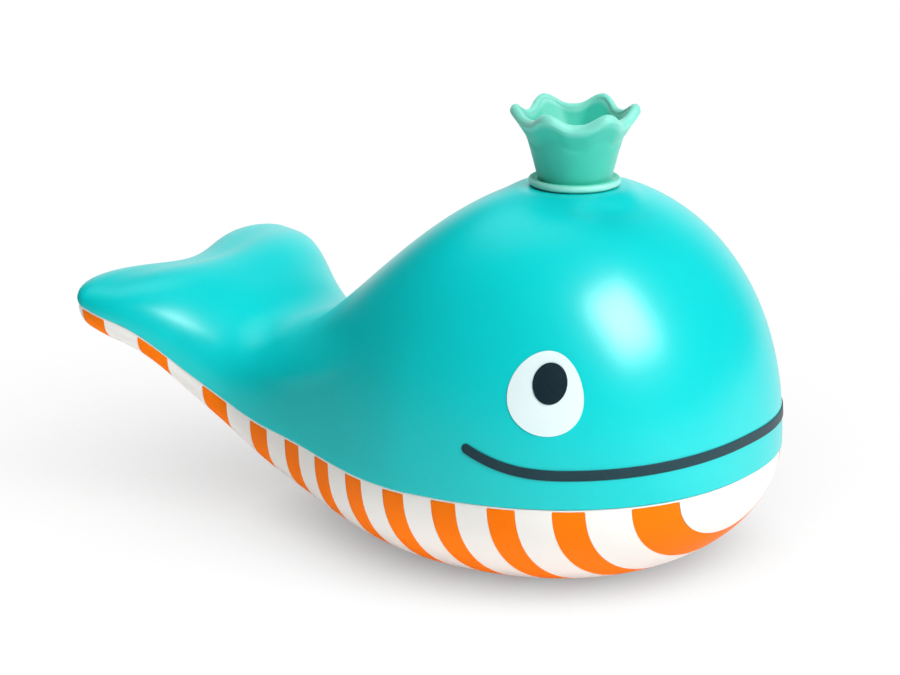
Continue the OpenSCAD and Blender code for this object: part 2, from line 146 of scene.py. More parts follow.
class Nodes:
    """Adds nodes to a shader or geometry tree."""

    def __init__(self, tree: bpy.types.NodeTree) -> None:
        """Starts on an emptied tree."""
        self.tree = tree
        tree.nodes.clear()

    def add(
        self,
        kind: str,
        settings: dict[str, object] | None = None,
        sockets: dict[str | int, object] | None = None,
        output: str | int = 0,
    ) -> Value:
        """Adds one node.

        Args:
            kind: The node's type.
            settings: Properties of the node, set first.
            sockets: Values or links of its inputs, by name or place.
            output: The output to return, by name or place.

        Returns:
            That output, or the node's first input where it has no outputs.
        """
        node = self.tree.nodes.new(kind)
        for name, setting in (settings or {}).items():
            setattr(node, name, setting)
        for key, value in (sockets or {}).items():
            self._feed(node.inputs[key], value)
        return Value(self, node.outputs[output] if node.outputs else node.inputs[0])

    def _feed(self, socket: bpy.types.NodeSocket, value: object) -> None:
        """Links a value to an input, or sets the input to a constant."""
        if isinstance(value, Value):
            self.tree.links.new(value.socket, socket)
        elif isinstance(value, tuple) and socket.type == "RGBA":
            socket.default_value = (*value, 1.0)
        else:
            socket.default_value = value

    def math(self, operation: str, *operands: Operand) -> Value:
        """Adds a Math node on the operands."""
        return self.add("ShaderNodeMath", {"operation": operation}, dict(enumerate(operands)))

    def cos(self, angle: Operand) -> Value:
        """Cosine of an angle in radians."""
        return self.math("COSINE", angle)

    def sin(self, angle: Operand) -> Value:
        """Sine of an angle in radians."""
        return self.math("SINE", angle)

    def mix_colour(self, share: Operand, low: Colour | Value, high: Colour | Value) -> Value:
        """A colour between two others."""
        return self.add(
            "ShaderNodeMix", {"data_type": "RGBA", "clamp_factor": True}, {0: share, 6: low, 7: high}, output=2
        )

    def dot(self, first: Value, second: Colour) -> Value:
        """Dot product of two vectors."""
        settings = {"operation": "DOT_PRODUCT"}
        return self.add("ShaderNodeVectorMath", settings, {0: first, 1: second}, output="Value")

    def noise(self, size: float, detail: float) -> Value:
        """Noise over the object.

        Args:
            size: Size of one grain, in metres.
            detail: Octaves of finer noise.

        Returns:
            The noise, from 0 to 1.
        """
        place = self.add("ShaderNodeTexCoord", output="Object")
        return self.add("ShaderNodeTexNoise", {}, {"Vector": place, "Scale": 1 / size, "Detail": detail})

    def plastic(self, height: Value, depth: float, sockets: dict[str | int, object]) -> None:
        """Ends a material with a plastic's shader.

        Args:
            height: Relief of the surface, from 0 to 1.
            depth: Height of the relief, in metres.
            sockets: Values or links of the shader's other inputs.
        """
        bump = self.add("ShaderNodeBump", {}, {"Strength": 1.0, "Distance": depth, "Height": height})
        shader = self.add("ShaderNodeBsdfPrincipled", {}, {**sockets, "Normal": bump})
        self.add("ShaderNodeOutputMaterial", {}, {"Surface": shader})


def new_material(name: str) -> tuple[bpy.types.Material, Nodes]:
    """Makes a material with an empty tree.

    Args:
        name: The material's name.

    Returns:
        The material and its nodes.
    """
    material = bpy.data.materials.new(name)
    material.use_nodes = True
    return material, Nodes(material.node_tree)


class GeometryTree:
    """A Geometry Nodes tree with named inputs."""

    def __init__(self, name: str, sizes: Sequence[str]) -> None:
        """Makes the tree and its sockets.

        Args:
            name: The tree's name.
            sizes: Names of its number inputs.
        """
        self.tree = bpy.data.node_groups.new(name, "GeometryNodeTree")
        self.nodes = Nodes(self.tree)
        self.tree.interface.new_socket("Geometry", in_out="OUTPUT", socket_type="NodeSocketGeometry")
        self.tree.interface.new_socket("Geometry", in_out="INPUT", socket_type="NodeSocketGeometry")
        for size in sizes:
            self.tree.interface.new_socket(size, in_out="INPUT", socket_type="NodeSocketFloat")
        self.tree.interface.new_socket("Finish", in_out="INPUT", socket_type="NodeSocketMaterial")
        self.inputs = self.tree.nodes.new("NodeGroupInput")

    def __getitem__(self, name: str) -> Value:
        """The value of one named input."""
        return Value(self.nodes, self.inputs.outputs[name])

    def close(self, geometry: Value) -> None:
        """Ends the tree with realized, smooth and dressed geometry."""
        solid = self.nodes.add("GeometryNodeRealizeInstances", {}, {"Geometry": geometry})
        soft = self.nodes.add("GeometryNodeSetShadeSmooth", {}, {"Geometry": solid, "Shade Smooth": True})
        dressed = self.nodes.add("GeometryNodeSetMaterial", {}, {"Geometry": soft, "Material": self["Finish"]})
        self.nodes.add("NodeGroupOutput", {}, {"Geometry": dressed})

    def apply(self, piece: bpy.types.Object, sizes: dict[str, float], finish: bpy.types.Material) -> None:
        """Runs the tree on a piece and keeps the result as its plain mesh.

        Args:
            piece: The object to grow.
            sizes: Values of the number inputs, by name.
            finish: The material that the tree sets.
        """
        modifier = piece.modifiers.new(self.tree.name, "NODES")
        modifier.node_group = self.tree
        for item in self.tree.interface.items_tree:
            if item.in_out == "INPUT" and item.name in sizes:
                modifier[item.identifier] = sizes[item.name]
            if item.in_out == "INPUT" and item.name == "Finish":
                modifier[item.identifier] = finish
        settle(piece)


def settle(piece: bpy.types.Object) -> None:
    """Turns what a piece's modifiers make into its own plain mesh."""
    bpy.context.view_layer.update()
    graph = bpy.context.evaluated_depsgraph_get()
    mesh = bpy.data.meshes.new_from_object(piece.evaluated_get(graph))
    old = piece.data
    piece.modifiers.clear()
    piece.data = mesh
    bpy.data.meshes.remove(old)
    mesh.name = piece.name


def new_piece(name: str, points: Array, faces: Sequence[Sequence[int]]) -> bpy.types.Object:
    """Makes a mesh object at the origin.

    Args:
        name: The piece's name.
        points: Its corners, in the frame.
        faces: Corner numbers of its faces.

    Returns:
        The object, linked to the scene.
    """
    mesh = bpy.data.meshes.new(name)
    mesh.from_pydata(points.reshape(-1, 3).tolist(), [], faces)
    piece = bpy.data.objects.new(name, mesh)
    bpy.context.scene.collection.objects.link(piece)
    return piece


def weld(piece: bpy.types.Object) -> None:
    """Merges a closed piece's doubled corners, drops faces without area and turns its faces outwards."""
    work = bmesh.new()
    work.from_mesh(piece.data)
    bmesh.ops.remove_doubles(work, verts=work.verts, dist=WELD)
    bmesh.ops.dissolve_degenerate(work, edges=work.edges, dist=WELD)
    bmesh.ops.recalc_face_normals(work, faces=work.faces)
    work.to_mesh(piece.data)
    work.free()
    shade(piece)


def shade(piece: bpy.types.Object) -> None:
    """Shades a piece smooth, apart from its sharp edges."""
    piece.data.shade_smooth()
    piece.data.set_sharp_from_angle(angle=SHARP_ANGLE)


def drill(piece: bpy.types.Object, radius: float, low: float, high: float, sides: int = 128) -> None:
    """Cuts an upright round hole on the crown's axis.

    Args:
        piece: The closed piece to cut.
        radius: The hole's radius.
        low: Height where the cut starts.
        high: Height where the cut ends.
        sides: Sides of the cutter.
    """
    turn = np.linspace(0, 2 * math.pi, sides, endpoint=False)
    rings = [np.stack([radius * np.cos(turn), radius * np.sin(turn), np.full(sides, z)], -1) for z in (low, high)]
    walls = [(i, (i + 1) % sides, sides + (i + 1) % sides, sides + i) for i in range(sides)]
    ends = [tuple(range(sides))[::-1], tuple(range(sides, 2 * sides))]
    cutter = new_piece("hole_cutter", np.concatenate(rings), walls + ends)
    cut = piece.modifiers.new("hole", "BOOLEAN")
    cut.operation = "DIFFERENCE"
    cut.solver = "EXACT"
    cut.object = cutter
    settle(piece)
    bpy.data.meshes.remove(cutter.data)
    weld(piece)


def grid_faces(rows: int, columns: int, loop: bool = False) -> list[tuple[int, int, int, int]]:
    """Faces of a grid of points.

    Args:
        rows: Number of rows.
        columns: Points in a row.
        loop: Whether each row is closed.

    Returns:
        The quads, as corner numbers.
    """
    last = columns if loop else columns - 1
    faces = []
    for row in range(0, (rows - 1) * columns, columns):
        for here in range(last):
            after = (here + 1) % columns
            faces.append((row + here, row + after, row + columns + after, row + columns + here))
    return faces


def closed_wall(name: str, rings: Array) -> bpy.types.Object:
    """Makes a closed piece from rings of points.

    Args:
        name: The piece's name.
        rings: One ring of points for each section, the first one without area.

    Returns:
        The welded piece.
    """
    count, around = rings.shape[:2]
    faces = grid_faces(count, around, loop=True)
    faces.append(tuple(range((count - 1) * around, count * around)))
    piece = new_piece(name, rings, faces)
    weld(piece)
    return piece


def smooth(x: Array) -> Array:
    """Eases from 0 to 1."""
    c = np.clip(x, 0, 1)
    return c * c * (3 - 2 * c)


def ease(d: Array, start: float, end: float) -> Array:
    """Eases from 0 at the start to 1 at the end."""
    return smooth((d - start) / (end - start))


def ramp(d: Array, start: float, end: float) -> Array:
    """Integral of ease along d."""
    c = np.clip((d - start) / (end - start), 0, 1)
    return (end - start) * (c**3 - c**4 / 2) + np.maximum(0, d - end)


def nose_curve(d: Array, reach: float, power: float) -> Array:
    """A round end that grows from 0 at the nose to 1 at the reach."""
    return np.maximum(0, 1 - np.maximum(0, 1 - d / reach) ** power) ** (1 / power)


def soft_max(a: Array, b: float, blend: float) -> Array:
    """The larger of two heights, with a rounded change from one to the other."""
    share = np.clip(1 - np.abs(a - b) / blend, 0, 1)
    return np.maximum(a, b) + blend / 4 * share**2


@dataclass(frozen=True)
class WhaleForm:
    """The whale's skin, as curves along its length.

    d is a distance back from the nose, t an inset from the skin, and v an angle round a section, from 0
    on the left of the seam to a half turn on the right.
    """

    body_w: float = 0.120
    body_l: float = 0.1895
    dome_h: float = 0.0708
    belly_d: float = 0.0335
    base_cut: float = 0.0025
    inlet_r: float = 0.00905
    head_l: float = 0.065
    dome_l: float = 0.058
    belly_l: float = 0.066
    nose_x: float = 0.053
    nose_pow: float = 2.25
    forehead_pow: float = 2.1
    dome_pow: float = 2.4
    belly_pow: float = 2.0
    fluke_pow: float = 2.8
    wall: float = 0.0022
    seam_step: float = 0.0004
    seam_gap: float = 0.0001
    base_blend: float = 0.0016
    stem_l: float = 0.0475
    stem_w: float = 0.0655
    saddle_l: float = 0.042
    stem_h: float = 0.0188
    fluke_l: float = 0.0115
    fluke_w: float = 0.0945
    fluke_h: float = 0.006
    fluke_d: float = 0.0114
    thin_l: float = 0.0195
    end_w: float = 0.040
    end_r: float = 0.010
    rise_l: float = 0.0705
    steep_l: float = 0.0185
    rise_slope: float = 1.18
    level_l: float = 0.034
    flat_l: float = 0.0155
    level_slope: float = 0.84
    notch_d: float = 0.0076
    notch_w: float = 0.023
    pad_r: float = 0.0126
    pad_drop: float = 0.0007
    pad_blend: float = 0.006

    @property
    def seam_h(self) -> float:
        """Height of the seam at the head."""
        return self.belly_d - self.base_cut

    @property
    def pad_z(self) -> float:
        """Height of the level pad under the crown."""
        return self.seam_h + float(self.top_height(np.array(self.nose_x), 0)) - self.pad_drop

    def from_end(self, length: float) -> float:
        """Distance back from the nose of a place given from the fluke's end."""
        return self.body_l - length

    def end_round(self, d: Array, t: float) -> Array:
        """Rounding of the fluke's end, from 1 down to 0."""
        c = np.clip((d - self.from_end(self.end_r)) / (self.end_r - t), 0, 1)
        return np.sqrt(1 - c * c)

    def half_width(self, d: Array, t: float) -> Array:
        """Half the width of a section."""
        stem, fluke = self.from_end(self.stem_l), self.from_end(self.fluke_l)
        kept = self.end_w / self.fluke_w
        width = (self.body_w / 2 - t) * nose_curve(d - t, self.head_l - t, self.nose_pow)
        width = width + (self.stem_w - self.body_w) / 2 * ease(d, self.head_l, stem)
        width = width + (self.fluke_w - self.stem_w) / 2 * ease(d, stem, fluke)
        return width * (kept + (1 - kept) * self.end_round(d, t))

    def top_height(self, d: Array, t: float) -> Array:
        """Height of the back above the seam."""
        saddle = self.from_end(self.saddle_l)
        height = (self.dome_h - t) * nose_curve(d - t, self.dome_l - t, self.forehead_pow)
        height = height + (self.stem_h - self.dome_h) * ease(d, self.dome_l, saddle)
        height = height + (self.fluke_h - self.stem_h) * ease(d, saddle, self.body_l)
        return height * self.end_round(d, t)

    def low_depth(self, d: Array, t: float) -> Array:
        """Depth of the belly below the seam."""
        depth = (self.belly_d - t) * nose_curve(d - t, self.belly_l - t, self.nose_pow)
        depth = depth + (self.fluke_d - self.belly_d) * ease(d, self.belly_l, self.from_end(self.thin_l))
        return depth * self.end_round(d, t)

    def seam_z(self, d: Array) -> Array:
        """Height of the seam."""
        rise = self.rise_slope * ramp(d, self.from_end(self.rise_l), self.from_end(self.steep_l))
        level = self.level_slope * ramp(d, self.from_end(self.level_l), self.from_end(self.flat_l))
        return self.seam_h + rise - level

    def seam_slope(self, d: Array) -> Array:
        """Slope of the seam."""
        rise = self.rise_slope * ease(d, self.from_end(self.rise_l), self.from_end(self.steep_l))
        return rise - self.level_slope * ease(d, self.from_end(self.level_l), self.from_end(self.flat_l))

    def section_pow(self, d: Array, power: float) -> Array:
        """Roundness of a section, which gets squarer towards the fluke."""
        return power + (self.fluke_pow - power) * ease(d, self.head_l, self.from_end(self.stem_l))

    def notch(self, d: Array, y: Array) -> Array:
        """How far the notch in the fluke's end moves a point forwards."""
        depth = self.notch_d * np.exp(-((y / self.notch_w) ** 2))
        return depth * ease(d, self.from_end(self.stem_l), self.body_l)

    def side_y(self, d: Array, v: Array, t: float, power: Array) -> Array:
        """Sideways place of a section's point."""
        return self.half_width(d, t) * np.sign(np.cos(v)) * np.abs(np.cos(v)) ** (2 / power)

    def padded(self, points: Array, t: float) -> Array:
        """Levels the dome to the pad under the crown."""
        share = 1 - smooth((np.hypot(points[..., 0], points[..., 1]) - self.pad_r) / self.pad_blend)
        height = points[..., 2] + share * (self.pad_z - t - points[..., 2])
        return np.stack([points[..., 0], points[..., 1], height], -1)

    def placed(self, d: Array, y: Array, up: Array) -> Array:
        """A point of a section at a height above the seam, moved by the fluke's notch."""
        back = self.notch(d, y)
        d, y, z = np.broadcast_arrays(self.nose_x - d + back, y, self.seam_z(d) - back * self.seam_slope(d) + up)
        return np.stack([d, y, z], -1)

    def upper(self, d: Array, v: Array, t: float) -> Array:
        """Points of the upper skin."""
        power = self.section_pow(d, self.dome_pow)
        up = self.top_height(d, t) * np.abs(np.sin(v)) ** (2 / power)
        return self.padded(self.placed(d, self.side_y(d, v, t, power), up), t)

    def lower(self, d: Array, v: Array, t: float | Array, flat: float) -> Array:
        """Points of the lower skin, which the flat base cuts at the given height."""
        power = self.section_pow(d, self.belly_pow)
        down = -self.seam_gap - self.low_depth(d, t) * np.abs(np.sin(v)) ** (2 / power)
        points = self.placed(d, self.side_y(d, v, t, power), down)
        points[..., 2] = soft_max(points[..., 2], flat, self.base_blend)
        return points

    def face(self, d: Array, up: Array, side: Array | int, t: float) -> Array:
        """Points on the head's side at a height above the seam."""
        power = self.section_pow(d, self.dome_pow)
        share = np.maximum(0, 1 - np.maximum(0, up / np.maximum(self.top_height(d, t), WELD)) ** power)
        return self.placed(d, side * self.half_width(d, t) * share ** (1 / power), up)

    def forehead(self, up: Array, t: float) -> Array:
        """Distance of the forehead from the nose at a height above the seam."""
        rest = 1 - (up / (self.dome_h - t)) ** self.forehead_pow
        return t + (self.dome_l - t) * (1 - rest ** (1 / self.forehead_pow))


@dataclass(frozen=True)
class Moulded:
    """Moulded plastic with a fine sparked grain.

    Cloud is the size of slow changes in colour and gloss. Grain is the size of the texture's grains and depth
    their height. Powder is the pale bloom of soft plastic, and pale the colour of a painted highlight, mixed in
    on the edges that the mesh's painted highlight attribute marks.
    """

    name: str
    colour: Colour
    deep: Colour
    roughness: float
    drift: float
    grain: float
    depth: float
    cloud: float = 0.035
    gloss: float = 0.10
    powder: float = 0.0
    powder_spread: float = 0.45
    # Colour of a painted highlight, mixed in where the mesh marks one; None for none.
    pale: Colour | None = None
    subsurface: float = 0.0
    bleed: float = 0.002
    contrast: float = 1.6
    fine_share: float = 0.3
    pore: float = 3.1
    pore_share: float = 0.3

    def material(self) -> bpy.types.Material:
        """The finish as a procedural material."""
        material, nodes = new_material(self.name)
        cloud = nodes.noise(self.cloud, 3.0)
        fine = nodes.noise(self.grain, 2.0)
        pores = nodes.noise(self.grain * self.pore, 1.0)
        slow = ((cloud - 0.5) * self.contrast + 0.5).clamped()
        tone = slow * (1 - self.fine_share) + fine * self.fine_share
        colour = nodes.mix_colour(tone, self.colour, self.deep)
        # Painted highlight: towards the marked edges the colour moves to a lighter tone that stands in for light
        # caught there.
        if self.pale:
            painted_highlight = nodes.add("ShaderNodeAttribute", {"attribute_name": PAINTED_HIGHLIGHT}, output="Fac")
            colour = nodes.mix_colour(painted_highlight, colour, self.pale)
        rough = self.roughness + (cloud - 0.5) * self.drift + (fine - 0.5) * self.drift
        nodes.plastic(
            fine * (1 - self.pore_share) + pores * self.pore_share,
            self.depth,
            {
                "Base Color": colour,
                "Roughness": rough,
                "Specular IOR Level": self.gloss,
                "Sheen Weight": self.powder,
                "Sheen Roughness": self.powder_spread,
                "Subsurface Weight": self.subsurface,
                "Subsurface Scale": self.bleed,
            },
        )
        return material


@dataclass(frozen=True)
class Ink:
    """Pad-printed ink that lets the shell's grain through, with small pinholes of a paler tone.

    Specks is the strength of the pinholes, and wear that of slow changes in the film's tone and gloss.
    """

    name: str
    colour: Colour
    speck: Colour
    roughness: float
    gloss: float = 0.3
    grain: float = 0.00042
    depth: float = 0.000016
    specks: float = 0.34
    speck_size: float = 1.7
    speck_start: float = 0.62
    speck_gain: float = 6.0
    film: float = 0.006
    wear: float = 0.12

    def material(self) -> bpy.types.Material:
        """The ink as a procedural material."""
        material, nodes = new_material(self.name)
        fine = nodes.noise(self.grain, 2.0)
        holes = nodes.noise(self.grain * self.speck_size, 1.0)
        flecks = ((holes - self.speck_start) * self.speck_gain).clamped() * self.specks
        film = (nodes.noise(self.film, 2.0) - 0.5) * self.wear
        colour = nodes.mix_colour(flecks + film, self.colour, self.speck)
        rough = self.roughness + film
        looks = {"Base Color": colour, "Roughness": rough, "Specular IOR Level": self.gloss}
        nodes.plastic(fine, self.depth, looks)
        return material


class Palette:
    """The whale's finishes, each made once."""

    def __init__(self) -> None:
        """Makes every finish."""
        self.turquoise = Moulded(
            "turquoise_satin_shell",
            colour=(0.001, 0.66, 0.66),
            deep=(0.001, 0.60, 0.61),
            roughness=0.29,
            drift=0.03,
            grain=0.0006,
            depth=0.000016,
            gloss=0.5,
        ).material()
        self.white = Moulded(
            "white_satin_hull",
            colour=(0.88, 0.875, 0.85),
            deep=(0.85, 0.84, 0.80),
            roughness=0.30,
            drift=0.05,
            grain=0.0009,
            depth=0.000006,
            gloss=0.2,
        ).material()
        self.orange = Moulded(
            "orange_inlay",
            colour=(1.0, 0.205, 0.001),
            deep=(0.98, 0.185, 0.001),
            roughness=0.36,
            drift=0.05,
            grain=0.0009,
            depth=0.000006,
            gloss=0.05,
        ).material()
        self.eye = Ink(
            "eye_white_ink",
            colour=(0.76, 0.90, 0.91),
            speck=(0.66, 0.86, 0.87),
            roughness=0.42,
            specks=0.2,
        ).material()
        self.navy = Ink(
            "navy_ink",
            colour=(0.005, 0.020, 0.031),
            speck=(0.02, 0.06, 0.08),
            roughness=0.46,
        ).material()
        # Painted reflection: the smile is printed in the same navy as the pupils, lightened here to stand in for
        # the sky's reflection on it.
        self.navy_painted_reflection = Ink(
            "navy_ink_painted_reflection",
            colour=(0.014, 0.050, 0.066),
            speck=(0.03, 0.11, 0.13),
            roughness=0.46,
        ).material()
        self.green = Moulded(
            "green_soft_crown",
            colour=(0.020, 0.56, 0.42),
            deep=(0.014, 0.51, 0.38),
            roughness=0.60,
            drift=0.08,
            grain=0.0006,
            depth=0.000012,
            cloud=0.006,
            gloss=0.8,
            powder=0.45,
            # Colour of the painted highlight on the crown's rolled rim and flange edge.
            pale=(0.32, 0.82, 0.70),
            subsurface=0.05,
            bleed=0.0015,
        ).material()
        self.inner = Moulded(
            "inner_white_plastic",
            colour=(0.80, 0.82, 0.82),
            deep=(0.74, 0.77, 0.78),
            roughness=0.38,
            drift=0.08,
            grain=0.0007,
            depth=0.000010,
            cloud=0.009,
        ).material()
        self.screen = Moulded(
            "grey_screen_plastic",
            colour=(0.56, 0.60, 0.61),
            deep=(0.48, 0.52, 0.54),
            roughness=0.34,
            drift=0.08,
            grain=0.0004,
            depth=0.000010,
            cloud=0.003,
        ).material()
        self.seal = Moulded(
            "grey_seal_rubber",
            colour=(0.052, 0.055, 0.058),
            deep=(0.035, 0.037, 0.040),
            roughness=0.62,
            drift=0.10,
            grain=0.0003,
            depth=0.000018,
            cloud=0.004,
        ).material()


def dress(piece: bpy.types.Object, finish: bpy.types.Material) -> None:
    """Gives a piece its one material."""
    piece.data.materials.clear()
    piece.data.materials.append(finish)


def seat(piece: bpy.types.Object, finish: bpy.types.Material, body: Body, slot: str, *nodes: str) -> None:
    """Dresses a finished piece and rides it on its body, in the place of the frame's nodes.

    Args:
        piece: The finished piece.
        finish: Its material.
        body: The body that it moves with.
        slot: Name of a material slot; not used.
        nodes: The nodes that it stands for.
    """
    dress(piece, finish)
    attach(piece, body.value)
    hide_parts(*nodes)
    LOG.info("%s rides on %s in place of %s", piece.name, body.value, ", ".join(nodes))


@dataclass
class UpperShell:
    """The turquoise upper shell, with a rounded lower edge and the blowhole in its pad."""

    form: WhaleForm
    edge_r: float = 0.0005
    edge_rows: int = 5
    rows: int = 110
    inner_rows: int = 48
    nose_steps: int = 60
    nose_run: float = 0.030
    step: float = 0.0014
    end_steps: int = 26
    hole_r: float = 0.01045

    def stations(self) -> Array:
        """Distances of the sections from the nose, closer together where the skin turns in."""
        form = self.form
        nose = self.nose_run * np.linspace(0, 1, self.nose_steps) ** form.nose_pow
        tail = form.from_end(form.end_r)
        middle = np.linspace(self.nose_run, tail, math.ceil((tail - self.nose_run) / self.step))
        end = tail + form.end_r * np.sin(np.linspace(0, math.pi / 2, self.end_steps))
        return np.concatenate([nose[:-1], middle[:-1], end])[:, None]

    def edge_radius(self, d: Array) -> Array:
        """Radius of the lower edge, which gets smaller at the fluke's end."""
        return np.minimum(self.edge_r, self.form.end_round(d, 0) * self.form.fluke_h / 3)

    def edge(self, d: Array, side: Side) -> Array:
        """Rounded lower edge, from the seam's face up to the outer skin."""
        form = self.form
        radius = self.edge_radius(d)
        turn = np.linspace(math.pi / 2, 0, self.edge_rows)[None, :]
        up = radius * (1 - np.sin(turn))
        place = np.maximum(d, form.forehead(up, 0))
        skin = form.face(place, up, side.value, 0)
        along = np.gradient(skin[..., :2], axis=0)
        along[0] = (0, side.value)
        normal = np.stack([along[..., 1] * side.value, -along[..., 0] * side.value], -1)
        normal /= np.maximum(np.linalg.norm(normal, axis=-1, keepdims=True), WELD)
        skin[..., :2] -= normal * (radius * (1 - np.cos(turn)))[..., None]
        return skin

    def build(self, palette: Palette) -> None:
        """Builds the shell as one closed wall.

        Args:
            palette: The finishes.
        """
        form = self.form
        d = self.stations()
        power = form.section_pow(d, form.dome_pow)
        top = form.top_height(d, 0)
        radius = self.edge_radius(d)
        start = np.arcsin(np.clip(radius / np.maximum(top, WELD), 0, 1) ** (power / 2))
        v = start + (math.pi - 2 * start) * np.linspace(0, 1, self.rows)[None, :]
        outer = form.upper(d, v, 0)
        outer[0] = (form.nose_x, 0, form.seam_h + self.edge_r)
        inner_d = form.wall + d * (form.body_l - 2 * form.wall) / form.body_l
        inner = form.upper(inner_d, np.linspace(math.pi, 0, self.inner_rows)[None, :], form.wall)
        left = self.edge(d, Side.LEFT)[:, :-1]
        right = self.edge(d, Side.RIGHT)[:, -2::-1]
        rings = np.concatenate([left, outer, right, inner], axis=1)
        piece = closed_wall("turquoise_upper_shell", rings)
        drill(piece, self.hole_r, form.pad_z / 2, form.pad_z * 1.5)
        seat(piece, palette.turquoise, Body.HULL, "shell_turquoise", "upper_shell")


@dataclass
class BandPlan:
    """Where the belly bands lie on the lower skin."""

    form: WhaleForm
    count: int = 12
    first: float = 0.005
    last: float = 0.0092
    width: float = 0.007
    thickness: float = 0.0008
    drop: float = 0.00045
    gap: float = 0.00005
    corner: float = 0.00035
    corner_shares: tuple[float, ...] = (0, 0.02, 0.06, 0.15, 0.3, 0.5, 0.75, 1)
    middle_steps: int = 8

    @property
    def pitch(self) -> float:
        """Distance from one band to the next."""
        return (self.form.body_l - self.first - self.last - self.width) / (self.count - 1)

    @property
    def skin(self) -> float:
        """Inset of the hull's outer face."""
        return self.form.seam_step

    def start(self, number: int) -> float:
        """Distance from the nose to a band's front edge, counted from 0."""
        return self.first + number * self.pitch

    def margin(self, x: Array, width: float) -> Array:
        """Drop of a band's end below the seam, with rounded corners.

        Args:
            x: Distance from the band's front edge.
            width: Width of the band.

        Returns:
            The drop at each distance.
        """
        inside = np.clip(np.minimum(x, width - x), 0, self.corner)
        return self.drop + self.corner - np.sqrt(self.corner**2 - (self.corner - inside) ** 2)

    def edge_angle(self, d: Array, drop: Array) -> Array:
        """Angle at which the lower skin is the given drop below the seam."""
        depth = np.maximum(self.form.low_depth(d, self.skin), WELD)
        power = self.form.section_pow(d, self.form.belly_pow)
        return np.arcsin(np.clip(drop / depth, 0, 1) ** (power / 2))

    def across(self) -> Array:
        """Shares of a band's width, closer together at its edges."""
        edge = self.corner / self.width * np.array(self.corner_shares)
        middle = np.linspace(edge[-1], 1 - edge[-1], self.middle_steps)[1:-1]
        return np.concatenate([edge, middle, 1 - edge[::-1]])


@dataclass
class LowerShell:
    """The white hull, with a recess for each belly band and the water inlet's hole in its flat base."""

    form: WhaleForm
    bands: BandPlan
    rows: int = 64
    margin_rows: int = 4
    inner_rows: int = 40
    chin_steps: int = 22
    between_steps: int = 6
    end_steps: int = 22
    base_t: float = 0.003

    def sections(self) -> Iterator[tuple[float, float, bool]]:
        """Sections of the hull: distance from the nose, drop of the recess and whether it is cut."""
        form, bands = self.form, self.bands
        plain = bands.drop + bands.corner
        skin = bands.skin
        for share in np.linspace(0, 1, self.chin_steps)[:-1] ** form.nose_pow:
            yield skin + (bands.first - skin) * share, plain, False
        for number in range(bands.count):
            start = bands.start(number)
            yield start, plain, False
            for share in bands.across():
                drop = bands.margin(np.array(share * bands.width), bands.width)
                yield start + share * bands.width, float(drop), True
            yield start + bands.width, plain, False
            if number + 1 < bands.count:
                for share in np.linspace(0, 1, self.between_steps + 2)[1:-1]:
                    yield start + bands.width + share * (bands.pitch - bands.width), plain, False
        last = bands.start(bands.count - 1) + bands.width
        for turn in np.linspace(0, math.pi / 2, self.end_steps)[1:]:
            yield last + (form.body_l - skin - last) * math.sin(turn), plain, False

    def build(self, palette: Palette) -> None:
        """Builds the hull as one closed wall.

        Args:
            palette: The finishes.
        """
        form, bands = self.form, self.bands
        sections = list(self.sections())
        d = np.array([s[0] for s in sections])[:, None]
        drop = np.array([s[1] for s in sections])[:, None]
        cut = np.array([s[2] for s in sections])[:, None]
        edge = bands.edge_angle(d, drop)
        margin = edge * np.linspace(0, 1, self.margin_rows)[None, :]
        recess = edge + (math.pi - 2 * edge) * np.linspace(0, 1, self.rows)[None, :]
        inset = bands.skin + np.where(cut, bands.thickness, 0)
        left = form.lower(d, margin, bands.skin, 0)
        floor = np.concatenate(
            [
                form.lower(d[i : i + 1], recess[i : i + 1], float(inset[i, 0]), float(inset[i, 0]) - bands.skin)
                for i in range(len(sections))
            ]
        )
        right = form.lower(d, math.pi - margin[:, ::-1], bands.skin, 0)
        inside = bands.skin + form.wall
        inner_d = inside + (d - bands.skin) * (form.body_l - 2 * inside) / (form.body_l - 2 * bands.skin)
        inner = form.lower(inner_d, np.linspace(math.pi, 0, self.inner_rows)[None, :], inside, self.base_t)
        rings = np.concatenate([left, floor, right, inner], axis=1)
        piece = closed_wall("white_hull", rings)
        drill(piece, form.inlet_r, -form.wall, 2 * form.wall)
        seat(piece, palette.white, Body.HULL, "hull_white", "lower_shell")


